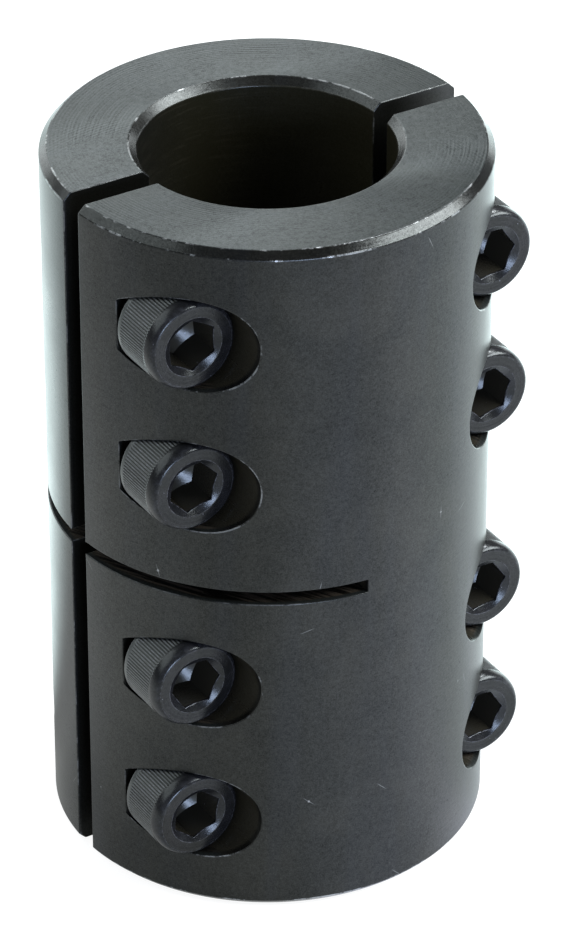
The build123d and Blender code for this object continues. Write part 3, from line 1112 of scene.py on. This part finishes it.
# ------------------------------------------------------------------ screw material
def screw_material():
    g = Graph("screw_black_oxide")
    place = g.object_mm()
    x, y, z = g.split(place)
    # each screw gets its own part of the noise
    seed = g.value("ShaderNodeObjectInfo", "Random") * 57.0
    offset = g.xyz(seed, seed * 1.7, seed * 0.6)
    own = g.value("ShaderNodeVectorMath", 0, {0: place, 1: offset}, operation="ADD")
    radius = g.length(x, y)
    angle = g.math("ARCTAN2", y, x)

    # areas of the screw
    face = z.ramp(start=-0.05, end=-0.02)
    knurl = radius.ramp(start=R_HEAD - 0.30, end=R_HEAD - 0.22) * z.ramp(start=-1.25, end=-1.6)
    crest = radius.ramp(start=R_HEAD - 0.078, end=R_HEAD - 0.012)
    walls = radius.ramp(start=2.78, end=2.70) * z.ramp(start=-0.4, end=-0.6)    # of the socket

    rings = g.noise(g.xyz(radius * 9.0, angle * 0.3, 1.0), detail=2.0, rough=0.6)
    cloud = g.noise(own, scale=0.45, detail=3.0, rough=0.6)
    fine = g.noise(own, scale=5.0, detail=4.0, rough=0.65)
    grit = g.noise(own, scale=18.0, detail=2.0, rough=0.6)

    # worn edges, a painted highlight line round the crown's ring edge, and specks of lint
    wear = g.value("ShaderNodeAttribute", "Fac", attribute_name="wear")
    nicks = g.noise(own, scale=2.0, detail=3.0, rough=0.7)
    wear = wear * nicks.ramp(start=0.38, end=0.68)
    lint = g.voronoi(own, scale=1.1)[0].ramp(start=0.075, end=0.03)
    lint = lint * g.noise(own, scale=0.8, detail=1.0).ramp(start=0.5, end=0.6)
    bright = g.math("MAXIMUM", wear * 0.85, lint * 0.5)

    tone = g.mix(cloud.ramp(start=0.35, end=0.7),
                 under=(0.0050, 0.0052, 0.0058), over=(0.0090, 0.0090, 0.0105))
    tone = g.mix(grit.ramp(start=0.55, end=0.8) * 0.4, tone, over=(0.018, 0.017, 0.017))
    knurl_tone = g.mix(crest, under=(0.009, 0.009, 0.008), over=(0.036, 0.039, 0.037))
    tone = g.mix(knurl, tone, knurl_tone)
    tone = g.mix(walls, tone, over=(0.022, 0.020, 0.015))

    rough = g.blend(knurl, under=0.23, over=0.34) + (fine - 0.5) * 0.18 + (cloud - 0.5) * 0.10
    face_level = g.blend(face, under=0.48, over=0.40)
    level = g.blend(knurl, face_level, g.blend(crest, under=0.40, over=1.0))
    level = level + ((fine - 0.5) * 0.6 + (grit - 0.5) * 0.5)
    height = (rings * face) * 0.7 + (fine + grit * 0.6)

    return g.finish({
        "Base Color": g.mix(bright, tone, over=(0.30, 0.31, 0.36)),
        "Metallic": bright * 0.85,
        "Roughness": rough,
        "IOR": 1.39,
        "Specular IOR Level": level + ((rings - 0.5) * face) * 0.5,
        "Specular Tint": g.mix(face, under=(0.93, 0.98, 0.99), over=(0.97, 1.0, 0.93)),
        "Normal": g.bump(height, strength=0.35, distance=0.00002),
    })


# ------------------------------------------------------------------ floor material
# direction of the camera from the sleeve: height angle, and turn about Z from -Y
ELEVATION, AZIMUTH = math.radians(32.291), math.radians(-31.0)

# Painted light: glow of the pale floor by bearing from the camera's side, brighter towards the lamps.
COOL_LEFT, PLAIN, COOL_RIGHT = (0.84, 1.0, 1.0), (0.97, 1.0, 0.98), (0.93, 0.99, 1.11)
GREEN_RIGHT = (0.88, 1.0, 1.04)
GLOW_MAX = 4.0
GLOW = (    # degrees to the camera's right, glow, tint
    (-180, 2.2, COOL_LEFT), (-158, 2.9, COOL_LEFT), (-143, 3.1, COOL_LEFT),
    (-132, 2.95, COOL_LEFT), (-124, 2.3, COOL_LEFT), (-111, 0.50, PLAIN), (-94, 0.97, PLAIN),
    (-65, 0.93, PLAIN), (-41, 0.82, PLAIN), (-20, 0.59, PLAIN), (2, 0.74, PLAIN),
    (23, 1.10, COOL_RIGHT), (45, 1.04, COOL_RIGHT), (67, 1.56, COOL_RIGHT),
    (88, 1.20, GREEN_RIGHT), (114, 1.44, GREEN_RIGHT), (137, 1.92, COOL_LEFT),
    (150, 3.05, COOL_LEFT), (162, 3.8, COOL_LEFT), (180, 2.2, COOL_LEFT),
)


def floor_material():
    """The floor glows by bearing and distance, in metres, as painted light and painted shadow, but
    evenly to the camera itself.
    """
    g = Graph("studio_floor")
    place = g.value("ShaderNodeTexCoord", "Object")
    grain = g.noise(place, scale=60.0, detail=4.0, rough=0.6)
    x, y, _ = g.split(place)
    to_right = x * math.cos(AZIMUTH) + y * math.sin(AZIMUTH)
    to_camera = x * math.sin(AZIMUTH) + y * -math.cos(AZIMUTH)
    bearing = 0.5 + g.math("ARCTAN2", to_right, to_camera) * (0.5 / math.pi)
    ramp = g.node("ShaderNodeValToRGB", {0: bearing})
    ramp.color_ramp.interpolation = "EASE"
    stops = ramp.color_ramp.elements
    while len(stops) > 1:
        stops.remove(stops[-1])
    for number, (degrees, glow, tint) in enumerate(GLOW):
        # the first stop is already there, at 0
        stop = stops.new((degrees + 180) / 360) if number else stops[0]
        stop.color = tuple(glow / GLOW_MAX * c for c in tint) + (1,)
    glow_color = Value(g, ramp.outputs[0])

    # painted shadow round the sleeve: the glow drops within about 54 mm of its axis, most on its
    # left, and drops again far out on the left
    distance = g.length(x, y)
    on_left = to_right.ramp(start=0.012, end=-0.038)
    on_right = to_right.ramp(start=0.018, end=0.034)
    close_glow = g.blend(on_left, g.blend(on_right, under=0.92, over=0.76), over=0.38)
    near = distance.ramp(start=0.020, end=0.054, low=close_glow)
    far_glow = g.blend(on_left, under=0.95, over=0.58)
    far = distance.ramp(start=0.085, end=0.150, low=1.0, high=far_glow)
    # painted shadow seen by the camera: the floor is a little darker within about 40 mm of the axis
    seen = g.value("ShaderNodeLightPath", "Is Camera Ray")
    seen_glow = distance.ramp(start=0.018, end=0.040, low=0.90)
    return g.finish({
        "Base Color": g.mix(grain, under=(0.15, 0.15, 0.15), over=(0.17, 0.17, 0.17)),
        "Roughness": 0.85,
        "Specular IOR Level": 0.2,
        "Emission Color": g.mix(seen, glow_color, over=(1.0, 1.0, 1.0)),
        "Emission Strength": g.blend(seen, (near * far) * GLOW_MAX, seen_glow),
    })


sleeve_oxide, screw_oxide = sleeve_material(), screw_material()
front.data.materials.append(sleeve_oxide)
rear.data.materials.append(sleeve_oxide)
screw_mesh.materials.append(screw_oxide)

# ------------------------------------------------------------------ stage
scene = bpy.context.scene
FLOOR_HALF = 3.0    # metres
floor_mesh = bpy.data.meshes.new("floor")
floor_corners = [(FLOOR_HALF * i, FLOOR_HALF * j, 0) for i, j in ((-1, -1), (1, -1), (1, 1), (-1, 1))]
floor_mesh.from_pydata(floor_corners, [], [(0, 1, 2, 3)])
floor = link("floor", floor_mesh)
floor.location = (0, 0, -HALF_LEN * MM)
floor_mesh.materials.append(floor_material())

# ------------------------------------------------------------------ camera
DISTANCE, AIM_Z = 522.60, -0.122    # mm, from the point on the Z axis it is aimed at
ROLL = -0.0013                      # radians
toward = Vector((math.sin(AZIMUTH), -math.cos(AZIMUTH), 0))     # level, to the camera
right = Vector((math.cos(AZIMUTH), math.sin(AZIMUTH), 0))
back = toward * math.cos(ELEVATION) + Vector((0, 0, math.sin(ELEVATION)))
up = right.cross(-back)
rolled_right = math.cos(ROLL) * right + math.sin(ROLL) * up
rolled_up = -math.sin(ROLL) * right + math.cos(ROLL) * up
place = (Vector((0, 0, AIM_Z)) + back * DISTANCE) * MM
camera = bpy.data.cameras.new("camera")
camera_object = link("camera", camera)
axes = Matrix((rolled_right, rolled_up, back)).transposed()
camera_object.matrix_world = Matrix.Translation(place) @ axes.to_4x4()
camera.sensor_fit = "AUTO"
camera.sensor_width = 36.0
camera.lens = 196.8301903
camera.shift_x = 0.0190697674
camera.clip_start, camera.clip_end = 0.01, 50
scene.camera = camera_object

# ------------------------------------------------------------------ lights
SOFTBOXES = (
    # name, bearing (degrees from the camera's side, 90 to its right), height angle (degrees),
    # distance, width, height (metres), radiance, colour
    ("right_box", 86, 39, 0.60, 0.50, 0.27, 16.5, (0.95, 0.99, 1.0)),
    ("left_box", -92, 42, 0.65, 0.68, 0.42, 2.2, (0.92, 0.99, 1.0)),
    ("back_box", -157, 32, 0.34, 0.30, 0.17, 3.2, (0.93, 0.99, 1.0)),
    ("high_box", 140, 58, 0.60, 0.26, 0.09, 42.0, (0.95, 0.98, 1.0)),
    ("low_front", 17, 9, 0.80, 0.26, 0.20, 26.0, (0.60, 0.72, 1.0)),
    ("low_back_left", -141, 7, 0.80, 0.42, 0.19, 2.6, (0.93, 0.99, 1.0)),
    ("low_back_right", 151, 6, 0.80, 0.24, 0.17, 2.4, (0.93, 0.99, 1.0)),
)
for name, bearing, rise, distance, width, height, radiance, color in SOFTBOXES:
    bearing, rise = math.radians(bearing), math.radians(rise)
    level = toward * math.cos(bearing) + right * math.sin(bearing)
    direction = level * math.cos(rise) + Vector((0, 0, 1)) * math.sin(rise)
    lamp = bpy.data.lights.new(name, "AREA")
    lamp.shape = "RECTANGLE"
    lamp.size, lamp.size_y = width, height
    lamp.energy = radiance * math.pi * width * height
    lamp.color = color
    obj = link(name, lamp)
    obj.location = direction * distance
    obj.rotation_mode = "QUATERNION"
    obj.rotation_quaternion = direction.to_track_quat("Z", "Y")

world = bpy.data.worlds.new("studio")
scene.world = world
world.use_nodes = True
background = world.node_tree.nodes["Background"]
background.inputs["Color"].default_value = (0.93, 0.97, 1.0, 1)
background.inputs["Strength"].default_value = 0.22
scene.view_settings.view_transform = "Standard"
scene.view_settings.look = "None"
